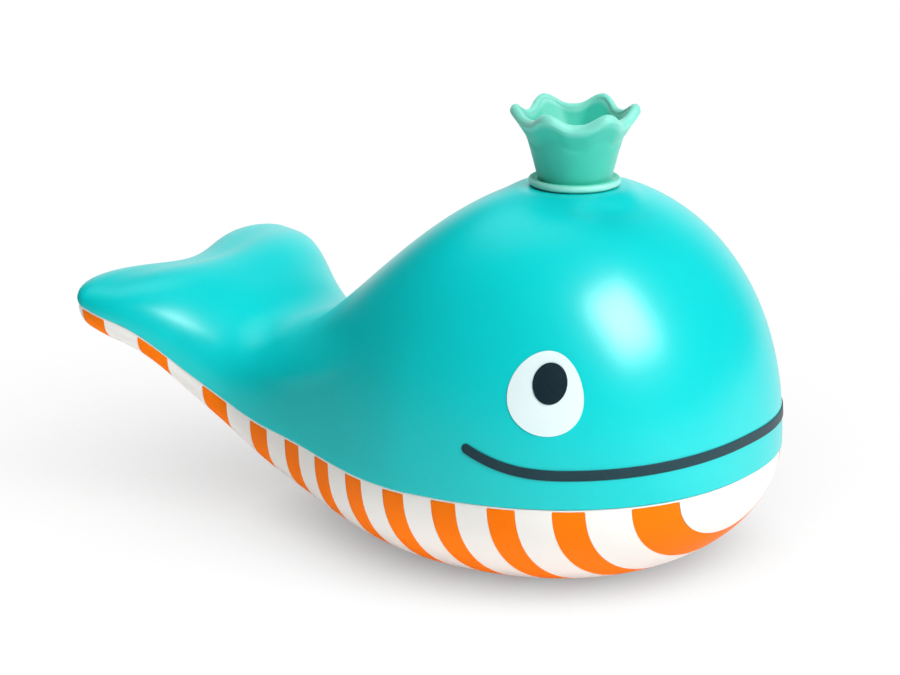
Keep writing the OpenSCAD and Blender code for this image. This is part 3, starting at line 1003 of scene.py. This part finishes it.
class LaidTree(GeometryTree):
    """Grows a patch of skin into a slim laid piece with rounded borders.

    The patch's points hold their distance from the border in the attribute edge.
    """

    def __init__(self) -> None:
        """Builds the tree."""
        super().__init__("laid_piece", ["Edge Radius", "Thickness"])
        nodes = self.nodes
        edge = nodes.add("GeometryNodeInputNamedAttribute", {"data_type": "FLOAT"}, {"Name": EDGE})
        radius = self["Edge Radius"]
        rest = radius - nodes.math("MINIMUM", edge, radius)
        sink = radius - nodes.math("SQRT", nodes.math("MAXIMUM", radius * radius - rest * rest, 0.0))
        normal = nodes.add("GeometryNodeInputNormal")
        offset = nodes.add("ShaderNodeVectorMath", {"operation": "SCALE"}, {0: normal, "Scale": sink * -1})
        top = nodes.add("GeometryNodeSetPosition", {}, {"Geometry": self["Geometry"], "Offset": offset})
        under = nodes.add(
            "GeometryNodeExtrudeMesh",
            {"mode": "FACES"},
            {"Mesh": top, "Offset Scale": self["Thickness"] * -1, "Individual": False},
        )
        turned = nodes.add("GeometryNodeFlipFaces", {}, {"Mesh": under})
        joined = nodes.add("GeometryNodeJoinGeometry", {}, {"Geometry": top})
        nodes.tree.links.new(turned.socket, joined.socket.node.inputs["Geometry"])
        merged = nodes.add("GeometryNodeMergeByDistance", {}, {"Geometry": joined, "Distance": WELD})
        self.close(merged)

    def lay(
        self,
        name: str,
        points: Array,
        edge: Array,
        loop: bool,
        sizes: tuple[float, float],
        finish: bpy.types.Material,
    ) -> bpy.types.Object:
        """Lays one piece.

        Args:
            name: The piece's name.
            points: A grid of points of its outer face.
            edge: Distance of each point from the border.
            loop: Whether the grid's rows are closed.
            sizes: Radius of the border's edge, and thickness.
            finish: Its material.

        Returns:
            The closed piece.
        """
        rows, columns = points.shape[:2]
        piece = new_piece(name, points, grid_faces(rows, columns, loop))
        store = piece.data.attributes.new(EDGE, "FLOAT", "POINT")
        store.data.foreach_set("value", edge.astype(np.float32).ravel())
        work = bmesh.new()
        work.from_mesh(piece.data)
        bmesh.ops.remove_doubles(work, verts=work.verts, dist=WELD)
        middle = sum((face.calc_center_median() for face in work.faces), Vector()) / len(work.faces)
        inside = Vector((min(0, middle.x), 0, INSIDE_Z))
        outward = sum((face.normal.dot(face.calc_center_median() - inside) for face in work.faces))
        if outward < 0:
            bmesh.ops.reverse_faces(work, faces=work.faces)
        work.to_mesh(piece.data)
        work.free()
        self.apply(piece, {"Edge Radius": sizes[0], "Thickness": sizes[1]}, finish)
        attribute = piece.data.attributes.get(EDGE)
        if attribute is not None:
            piece.data.attributes.remove(attribute)
        weld(piece)
        return piece


@dataclass
class BellyBands:
    """The orange bands, inlaid flush with the hull."""

    form: WhaleForm
    plan: BandPlan
    laid: LaidTree
    rows: int = 72
    edge_r: float = 0.00012
    end_shares: tuple[float, ...] = (0, 0.0006, 0.0016, 0.0035, 0.007)

    def patch(self, number: int) -> tuple[Array, Array]:
        """Outer face of one band.

        Args:
            number: The band, counted from 0 at the nose.

        Returns:
            A grid of points, and their distances from the band's border.
        """
        plan = self.plan
        width = plan.width - 2 * plan.gap
        x = width * plan.across()[:, None]
        d = plan.start(number) + plan.gap + x
        start = plan.edge_angle(d, plan.margin(x, width) + plan.gap)
        ends = np.array(self.end_shares)
        shares = np.concatenate([ends, np.linspace(ends[-1], 1 - ends[-1], self.rows)[1:-1], 1 - ends[::-1]])
        points = self.form.lower(d, start + (math.pi - 2 * start) * shares[None, :], plan.skin, 0)
        steps = np.linalg.norm(np.diff(points, axis=1), axis=-1)
        run = np.concatenate([np.zeros((len(d), 1)), np.cumsum(steps, axis=1)], axis=1)
        ends_off = np.minimum(run, run[:, -1:] - run)
        return points, np.minimum(np.minimum(x, width - x), ends_off)

    def build(self, palette: Palette) -> None:
        """Lays every band in its recess.

        Args:
            palette: The finishes.
        """
        form, plan = self.form, self.plan
        sizes = (self.edge_r, plan.thickness - plan.gap)
        for number in range(plan.count):
            name = f"orange_band_{number + 1}"
            piece = self.laid.lay(name, *self.patch(number), False, sizes, palette.orange)
            reach = abs(form.nose_x - plan.start(number) - plan.width / 2) - plan.width / 2
            if reach < form.inlet_r:
                drill(piece, form.inlet_r, -form.wall, 2 * form.wall)
            seat(piece, palette.orange, Body.HULL, "band_orange", f"belly_band_{number + 1}")


@dataclass
class Face:
    """The printed face: an egg-shaped eye with a pupil on each side, and one smile round the nose."""

    form: WhaleForm
    laid: LaidTree
    eye_back: float = 0.0308
    eye_up: float = 0.0292
    eye_w: float = 0.0163
    eye_h: float = 0.0208
    eye_lean: float = math.radians(14)
    eye_egg: float = 0.09
    eye_bend: float = 0.0011
    eye_skew: float = 0.0004
    pupil_w: float = 0.0074
    pupil_h: float = 0.0102
    pupil_up: float = 0.0026
    pupil_front: float = 0.0013
    smile_up: float = 0.009
    smile_low: float = 0.024
    smile_front: float = 0.0009
    smile_corner: float = 0.0052
    smile_back: float = 0.0475
    smile_curl: float = 2.5
    smile_w: float = 0.0027
    film_t: float = 0.00025
    film_gap: float = 0.00002
    edge_r: float = 0.0001
    turns: int = 96
    smile_steps: int = 220
    cap_steps: int = 10
    core: float = 0.94
    core_steps: int = 14
    border_shares: tuple[float, ...] = (0.965, 0.98, 0.99, 0.996, 1.0)
    line_shares: tuple[float, ...] = (-1, -0.985, -0.96, -0.92, -0.6, 0, 0.6, 0.92, 0.96, 0.985, 1)

    @property
    def radii(self) -> Array:
        """Shares of a printed egg's radius, closer together at its border."""
        return np.concatenate([np.linspace(0, self.core, self.core_steps), self.border_shares])

    def egg(
        self,
        back: float,
        up: float,
        size: tuple[float, float],
        shape: tuple[float, float, float],
        side: Side,
        t: float,
    ) -> tuple[Array, Array]:
        """Outer face of an egg-shaped print.

        Args:
            back: Distance of its middle from the nose.
            up: Height of its middle above the seam.
            size: Its width and height.
            shape: Share by which it is wider below, and how far its ends bend and skew to the front.
            side: The side of the head.
            t: Inset of its outer face from the skin.

        Returns:
            A grid of points, and their distances from the border.
        """
        egg, bend, skew = shape
        a = np.linspace(0, 2 * math.pi, self.turns, endpoint=False)[None, :]
        share = self.radii[:, None]
        rise = share * np.sin(a)
        p = size[0] / 2 * np.cos(a) * (1 - egg * np.sin(a))
        q = size[1] / 2 * np.sin(a)
        cos, sin = math.cos(self.eye_lean), math.sin(self.eye_lean)
        d = back + share * (p * cos + q * sin) - bend * rise**2 + skew * rise
        n = up + share * (q * cos - p * sin)
        return self.form.face(d, n, side.value, t), (1 - share) * np.hypot(p, q)

    def smile_height(self, d: Array) -> Array:
        """Height of the smile above the seam."""
        back = np.maximum(0, d - self.smile_low) / (self.smile_back - self.smile_low)
        front = np.maximum(0, 1 - d / self.smile_low)
        return self.smile_up + self.smile_front * front**2 + self.smile_corner * back**self.smile_curl

    def smile_slope(self, d: Array) -> Array:
        """Slope of the smile."""
        run = self.smile_back - self.smile_low
        back = np.maximum(0, d - self.smile_low) / run
        front = np.maximum(0, 1 - d / self.smile_low)
        rise = self.smile_corner * self.smile_curl / run * back ** (self.smile_curl - 1)
        return rise - 2 * self.smile_front / self.smile_low * front

    def smile_points(self, u: Array, o: Array, c: Array, t: float) -> Array:
        """Points of the smile.

        Args:
            u: Share of the way from the nose to a corner, below 0 on the right.
            o: Place across the line.
            c: Distance past the corner.
            t: Inset from the skin.

        Returns:
            The points.
        """
        form = self.form
        front = form.forehead(self.smile_height(np.array(0.0)), 0)
        run = (self.smile_back - front) * u * u
        slope = self.smile_slope(front + run) * np.abs(u)
        unit = np.sqrt(1 + slope * slope)
        n = self.smile_height(front + run) + (o + c * slope) / unit
        d = form.forehead(n, t) + run + (c - o * slope) / unit
        return form.face(d, n, np.sign(u), t)

    def smile(self, t: float) -> tuple[Array, Array]:
        """Outer face of the smile, with round ends.

        Args:
            t: Inset of its outer face from the skin.

        Returns:
            A grid of points, and their distances from the border.
        """
        half = self.smile_w / 2
        cap = np.linspace(math.pi / 2, 0, self.cap_steps, endpoint=False)
        line = np.linspace(1, -1, self.smile_steps + 1)
        u = np.concatenate([np.ones_like(cap), line, -np.ones_like(cap)])[:, None]
        turn = np.concatenate([cap, np.zeros_like(line), cap[::-1]])[:, None]
        across = np.array(self.line_shares)[None, :]
        o = half * np.cos(turn) * across
        c = half * np.sin(turn)
        return self.smile_points(u, o, c, t), half - np.hypot(o, c + 0 * o)

    def build(self, palette: Palette) -> None:
        """Prints the eyes, the pupils and the smile.

        Args:
            palette: The finishes.
        """
        sizes = (self.edge_r, self.film_t)
        eye_top = -self.film_gap - self.film_t
        pupil_top = eye_top - self.film_gap - self.film_t
        shape = (self.eye_egg, self.eye_bend, self.eye_skew)
        for side in Side:
            eye = self.egg(self.eye_back, self.eye_up, (self.eye_w, self.eye_h), shape, side, eye_top)
            pupil = self.egg(
                self.eye_back - self.pupil_front,
                self.eye_up + self.pupil_up,
                (self.pupil_w, self.pupil_h),
                (0.0, 0.0, 0.0),
                side,
                pupil_top,
            )
            white = self.laid.lay(f"eye_{side.word}", *eye, True, sizes, palette.eye)
            seat(white, palette.eye, Body.HULL, "eye_white", f"eye_white_{side.word}")
            dark = self.laid.lay(f"eye_pupil_{side.word}", *pupil, True, sizes, palette.navy)
            seat(dark, palette.navy, Body.HULL, "print_navy", f"pupil_{side.word}")
        # The smile takes the navy ink, lightened with a painted reflection.
        line = self.laid.lay("smile_line", *self.smile(eye_top), False, sizes, palette.navy_painted_reflection)
        seat(line, palette.navy_painted_reflection, Body.HULL, "print_navy", "smile")


@dataclass
class Crown:
    """The soft crown: a wavy cup on a round flange, grown by Geometry Nodes from its rule.

    Stretches names the parts of its profile in order, with the rows of each. Highlight_out and highlight_in are
    the shares of the wall's outer and inner face that the painted highlight on the rolled top of the wall covers,
    and lip_highlight_strength its strength. The flange's rounded edge carries the painted highlight too.
    """

    seat_z: float
    plug_top: float
    flange_r: float = 0.012
    flange_t: float = 0.002
    foot_r: float = 0.0096
    cone_slope: float = 0.25
    valley_slope: float = 0.53
    point_slope: float = 0.75
    crown_h: float = 0.021
    wave_d: float = 0.0027
    wave_pow: float = 1.5
    points: float = 6
    point_turn: float = math.radians(34)
    wall: float = 0.0026
    groove: float = 0.0006
    groove_w: float = 0.00035
    rim_drop: float = 0.0019
    lip_r: float = 0.0012
    ledge: float = 0.00035
    ledge_drop: float = 0.0076
    ledge_soft: float = 0.0018
    ledge_fade: float = 0.6
    bore_r: float = 0.00765
    bead_room: float = 0.0005
    bead_low: float = 0.00245
    bead_high: float = 0.00355
    highlight_out: float = 0.13
    highlight_in: float = 0.10
    lip_highlight_strength: float = 0.55
    around: int = 216
    stretches: tuple[tuple[str, int], ...] = (
        ("base", 4),
        ("edge", 12),
        ("top", 6),
        ("groove", 5),
        ("outside", 44),
        ("rim", 10),
        ("lip", 6),
        ("inside", 30),
        ("floor", 3),
        ("bore", 2),
        ("out", 1),
        ("room", 2),
        ("back", 1),
        ("foot", 2),
    )

    def sizes(self) -> dict[str, float]:
        """The tree's number inputs."""
        return {
            "Seat": self.seat_z,
            "Plug Top": self.plug_top,
            "Flange Radius": self.flange_r,
            "Flange Thickness": self.flange_t,
            "Foot Radius": self.foot_r,
            "Cone Slope": self.cone_slope,
            "Valley Slope": self.valley_slope,
            "Point Slope": self.point_slope,
            "Crown Height": self.crown_h,
            "Wave Depth": self.wave_d,
            "Wave Power": self.wave_pow,
            "Points": self.points,
            "Point Turn": self.point_turn,
            "Wall": self.wall,
            "Groove": self.groove,
            "Groove Width": self.groove_w,
            "Rim Drop": self.rim_drop,
            "Lip Radius": self.lip_r,
            "Ledge": self.ledge,
            "Ledge Drop": self.ledge_drop,
            "Ledge Softness": self.ledge_soft,
            "Bore Radius": self.bore_r,
            "Bead Room": self.bead_room,
            "Bead Low": self.bead_low,
            "Bead High": self.bead_high,
        }

    def tree(self) -> GeometryTree:
        """The crown's rule, as a sum of stretches along its profile, turned round the axis."""
        tree = GeometryTree("soft_crown", list(self.sizes()))
        nodes = tree.nodes
        rows = sum(count for _, count in self.stretches)
        sheet = nodes.add(
            "GeometryNodeMeshGrid",
            {},
            {"Size X": 1.0, "Size Y": 1.0, "Vertices X": self.around + 1, "Vertices Y": rows + 1},
        )
        place = nodes.add("GeometryNodeInputPosition")
        turn = (nodes.add("ShaderNodeSeparateXYZ", {}, {0: place}, output="X") + 0.5) * (2 * math.pi)
        row = (nodes.add("ShaderNodeSeparateXYZ", {}, {0: place}, output="Y") + 0.5) * float(rows)
        share: dict[str, Value] = {}
        first = 0
        for name, count in self.stretches:
            share[name] = ((row - float(first)) / float(count)).clamped()
            first += count

        edge_r = tree["Flange Thickness"] * 0.5
        swell = nodes.cos((turn - tree["Point Turn"]) * tree["Points"]) * 0.5 + 0.5
        rim = tree["Seat"] + tree["Crown Height"] - tree["Wave Depth"] * (1 - swell ** tree["Wave Power"])
        groove_r = tree["Foot Radius"] + tree["Groove Width"]
        foot_z = tree["Seat"] + tree["Flange Thickness"] - tree["Groove"] + tree["Groove Width"]
        wall_h = rim - tree["Rim Drop"] - foot_z
        floor_u = (tree["Plug Top"] - foot_z) / wall_h
        u = share["outside"] * (1 - share["inside"] * (1 - floor_u))
        over = share["rim"] * (math.pi / 2)
        lip = share["lip"] * (math.pi / 2)

        base = tree["Bore Radius"] + share["base"] * (tree["Flange Radius"] - edge_r - tree["Bore Radius"])
        ring = edge_r * nodes.sin(share["edge"] * math.pi)
        inward = share["top"] * (tree["Flange Radius"] - edge_r - groove_r)
        fillet = tree["Groove Width"] * nodes.sin(share["groove"] * (math.pi / 2))
        rise = u * wall_h
        past = rise - (rim - tree["Ledge Drop"] - foot_z)
        bend = nodes.math("SQRT", past * past + tree["Ledge Softness"] * tree["Ledge Softness"])
        petal = (past + bend) * 0.5
        slope = tree["Valley Slope"] + (tree["Point Slope"] - tree["Valley Slope"]) * swell
        flare = tree["Cone Slope"] * (rise - petal) + slope * petal
        above = (past / tree["Ledge Softness"] + 0.5).smooth() * (1 - (past / tree["Ledge Drop"]).clamped())
        recess = tree["Ledge"] * above * (1 - swell * self.ledge_fade) * (1 - share["rim"])
        rounding = (tree["Wall"] - tree["Lip Radius"]) * (1 - nodes.cos(over))
        rounding = rounding + tree["Lip Radius"] * nodes.sin(lip)
        cup = base + ring - inward - fillet + flare - recess - rounding
        radius = cup + share["floor"] * (tree["Bore Radius"] - cup)
        radius = radius + tree["Bead Room"] * (share["out"] - share["back"])

        z = tree["Seat"] + edge_r * (1 - nodes.cos(share["edge"] * math.pi))
        z = z - tree["Groove"] * share["top"].smooth()
        z = z + tree["Groove Width"] * (1 - nodes.cos(share["groove"] * (math.pi / 2)))
        z = z + share["outside"] * wall_h + tree["Rim Drop"] * nodes.sin(over)
        z = z - tree["Lip Radius"] * (1 - nodes.cos(lip))
        z = z - share["inside"] * (rim - tree["Lip Radius"] - tree["Plug Top"])
        bead_high, bead_low = tree["Seat"] + tree["Bead High"], tree["Seat"] + tree["Bead Low"]
        z = z - share["bore"] * (tree["Plug Top"] - bead_high)
        z = z - share["room"] * (bead_high - bead_low) - share["foot"] * (bead_low - tree["Seat"])
        x, y = radius * nodes.cos(turn), radius * nodes.sin(turn)
        spot = nodes.add("ShaderNodeCombineXYZ", {}, {0: x, 1: y, 2: z})
        # Painted highlight: a lighter tone on the rolled top of the wall and the flange's rounded edge, standing
        # in for the light that catches them, stored for the material.
        lip_highlight = ((share["outside"] - 1.0) / self.highlight_out + 1.0).smooth()
        lip_highlight = lip_highlight - (share["inside"] / self.highlight_in).smooth()
        painted_highlight = lip_highlight * self.lip_highlight_strength + nodes.sin(share["edge"] * math.pi)
        marked = nodes.add(
            "GeometryNodeStoreNamedAttribute",
            {"data_type": "FLOAT", "domain": "POINT"},
            {"Geometry": sheet, "Name": PAINTED_HIGHLIGHT, "Value": painted_highlight},
        )
        bent = nodes.add("GeometryNodeSetPosition", {}, {"Geometry": marked, "Position": spot})
        merged = nodes.add("GeometryNodeMergeByDistance", {}, {"Geometry": bent, "Distance": SEAM_WELD})
        tree.close(merged)
        return tree

    def build(self, palette: Palette) -> None:
        """Grows the crown.

        Args:
            palette: The finishes.
        """
        piece = new_piece("soft_crown", np.zeros((0, 3)), [])
        self.tree().apply(piece, self.sizes(), palette.green)
        weld(piece)
        seat(piece, palette.green, Body.CROWN, "crown_green", "crown")


@dataclass
class FrameFinishes:
    """The frame's own pieces that stay in sight: the plug, the collar, the chamber, the screen and the seals."""

    white: tuple[str, ...] = ("blowhole_collar", "air_chamber", "crown_plug")
    dark: tuple[str, ...] = ("chamber_seal_upper", "chamber_seal_lower", "plug_seal")
    grey: tuple[str, ...] = ("bubble_screen",)

    def build(self, palette: Palette) -> None:
        """Gives each piece its finish."""
        finishes = ((self.white, palette.inner), (self.dark, palette.seal), (self.grey, palette.screen))
        for names, finish in finishes:
            for name in names:
                dress(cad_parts[name], finish)
                LOG.info("%s keeps its place and takes %s", name, finish.name)


@dataclass
class Lamp:
    """A soft square lamp that looks at the whale."""

    name: str
    place: tuple[float, float, float]
    size: float
    power: float
    aim: tuple[float, float, float] = (-0.02, 0.0, 0.05)
    diffuse: bool = True
    glossy: bool = True

    def build(self) -> None:
        """Makes the lamp."""
        light = bpy.data.lights.new(self.name, "AREA")
        light.shape = "SQUARE"
        light.size = self.size
        light.energy = self.power
        lamp = bpy.data.objects.new(self.name, light)
        lamp.location = self.place
        lamp.visible_diffuse = self.diffuse
        lamp.visible_glossy = self.glossy
        lamp.rotation_euler = (Vector(self.aim) - Vector(self.place)).to_track_quat("-Z", "Y").to_euler()
        bpy.context.scene.collection.objects.link(lamp)


@dataclass(frozen=True)
class FloorShade:
    """A soft part of the whale's shadow on the floor."""

    reach: float
    lean: tuple[float, float, float]
    power: float
    depth: float
    samples: int = 16

    def light(self, nodes: Nodes) -> Value:
        """How much light is left on the floor.

        Args:
            nodes: The floor material's nodes.

        Returns:
            One in the open, less where the whale hides the side that the shade leans to.
        """
        lean = nodes.add("ShaderNodeCombineXYZ", {}, dict(enumerate(self.lean)))
        free = nodes.add(
            "ShaderNodeAmbientOcclusion",
            {"samples": self.samples},
            {"Distance": self.reach, "Normal": lean},
            output="AO",
        )
        return 1 - self.depth * (1 - free) ** self.power


@dataclass
class Studio:
    """A plain white floor, soft light and the camera."""

    azimuth: float = math.radians(33.85)
    elevation: float = math.radians(15.62)
    distance: float = 0.9627
    lens: float = 143.3
    target: tuple[float, float, float] = (-0.0402, 0.0021, 0.0530)
    floor_reach: float = 6.0
    floor_shade: float = 0.80
    floor_glow: float = 0.55
    mirror_shade: float = 0.05
    mirror_glow: float = 0.02
    mirror_side: tuple[float, float, float] = (0.33, 0.94, 0.0)
    mirror_start: float = -0.02
    mirror_run: float = 0.1
    seen_shade: float = 0.05
    seen_glow: float = 0.98
    shades: tuple[FloorShade, FloorShade] = (
        FloorShade(reach=0.022, lean=(0.62, -0.62, 0.45), power=2.0, depth=1.3),
        FloorShade(reach=0.25, lean=(0.74, -0.62, 0.25), power=1.4, depth=1.2),
    )
    sky: float = 0.08
    room: float = 0.01
    backdrop: float = 0.95
    backdrop_side: tuple[float, float, float] = (-0.37, 0.92, 0.0)
    backdrop_start: float = 0.73
    backdrop_run: float = 0.25
    near: float = 0.01
    lamps: tuple[Lamp, ...] = (
        Lamp("key_softbox", (0.60, -0.15, 0.66), 0.34, 6.9, glossy=False),
        Lamp("key_sheen", (0.61, 0.0, 0.62), 0.44, 9.5, diffuse=False),
        Lamp("tail_softbox", (-0.31, 0.26, 0.73), 0.5, 4.0, aim=(-0.09, 0.0, 0.06), glossy=False),
    )

    @property
    def back(self) -> Vector:
        """Direction from the whale to the camera."""
        flat = math.cos(self.elevation)
        return Vector((math.sin(self.azimuth) * flat, -math.cos(self.azimuth) * flat, math.sin(self.elevation)))

    @staticmethod
    def glowing(nodes: Nodes, shade: float, glow: Operand) -> Value:
        """A matt grey that also glows.

        Args:
            nodes: The material's nodes.
            shade: How much light it returns.
            glow: Strength of its own light.

        Returns:
            The shader.
        """
        matt = nodes.add("ShaderNodeBsdfDiffuse", {}, {"Color": (shade,) * 3})
        light = nodes.add("ShaderNodeEmission", {}, {"Strength": glow})
        return nodes.add("ShaderNodeAddShader", {}, {0: matt, 1: light})

    def floor(self) -> None:
        """The floor, pale enough to vanish into the background outside the shadow."""
        reach = self.floor_reach
        corners = np.array([(-reach, -reach, 0), (reach, -reach, 0), (reach, reach, 0), (-reach, reach, 0)])
        floor = new_piece("studio_floor", corners, [(0, 1, 2, 3)])
        material, nodes = new_material("white_floor")
        bounce = self.glowing(nodes, self.floor_shade, self.floor_glow)
        under, behind = (shade.light(nodes) for shade in self.shades)
        view = self.glowing(nodes, self.seen_shade, self.seen_glow * under.clamped() * behind.clamped())
        place = nodes.add("ShaderNodeTexCoord", output="Object")
        far = ((nodes.dot(place, self.mirror_side) - self.mirror_start) / self.mirror_run).smooth()
        glow = self.mirror_glow + far * (self.backdrop - self.mirror_glow)
        mirror = self.glowing(nodes, self.mirror_shade, glow)
        mirrored = nodes.add("ShaderNodeLightPath", output="Is Glossy Ray")
        seen = nodes.add("ShaderNodeLightPath", output="Is Camera Ray")
        unseen = nodes.add("ShaderNodeMixShader", {}, {0: mirrored, 1: bounce, 2: mirror})
        look = nodes.add("ShaderNodeMixShader", {}, {0: seen, 1: unseen, 2: view})
        nodes.add("ShaderNodeOutputMaterial", {}, {"Surface": look})
        dress(floor, material)

    def world(self) -> None:
        """A dim room in front of a white backdrop, which gloss mirrors and the camera sees as white."""
        world = bpy.data.worlds.new("studio")
        world.use_nodes = True
        nodes = Nodes(world.node_tree)
        seen = nodes.add("ShaderNodeLightPath", output="Is Camera Ray")
        mirrored = nodes.add("ShaderNodeLightPath", output="Is Glossy Ray")
        through = nodes.add("ShaderNodeLightPath", output="Is Transmission Ray")
        heading = nodes.add("ShaderNodeTexCoord", output="Generated")
        facing = nodes.dot(heading, self.backdrop_side)
        behind = ((facing - self.backdrop_start) / self.backdrop_run).smooth()
        gloss = self.room + behind * (self.backdrop - self.room)
        strength = self.sky + mirrored * (gloss - self.sky)
        strength = strength + (seen + through).clamped() * (1 - strength)
        sky = nodes.add("ShaderNodeBackground", {}, {"Color": (1.0, 1.0, 1.0), "Strength": strength})
        nodes.add("ShaderNodeOutputWorld", {}, {"Surface": sky})
        bpy.context.scene.world = world

    def camera(self) -> None:
        """The camera at the photograph's angle."""
        data = bpy.data.cameras.new("camera")
        data.lens = self.lens
        data.clip_start = self.near
        camera = bpy.data.objects.new("camera", data)
        camera.location = Vector(self.target) + self.back * self.distance
        camera.rotation_euler = (-self.back).to_track_quat("-Z", "Y").to_euler()
        bpy.context.scene.collection.objects.link(camera)
        bpy.context.scene.camera = camera

    def build(self) -> None:
        """Sets up the studio."""
        bpy.context.scene.view_settings.view_transform = "Standard"
        self.floor()
        self.world()
        for lamp in self.lamps:
            lamp.build()
        self.camera()


def main() -> None:
    """Builds and dresses every piece."""
    logging.basicConfig(level=logging.INFO, format="%(name)s: %(message)s")
    palette = Palette()
    form = WhaleForm()
    plan = BandPlan(form)
    laid = LaidTree()
    Studio().build()
    UpperShell(form).build(palette)
    LowerShell(form, plan).build(palette)
    BellyBands(form, plan, laid).build(palette)
    Face(form, laid).build(palette)
    Crown(seat_z=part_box("crown")[0].z, plug_top=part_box("crown_plug")[1].z).build(palette)
    FrameFinishes().build(palette)


if __name__ == "__main__":
    main()
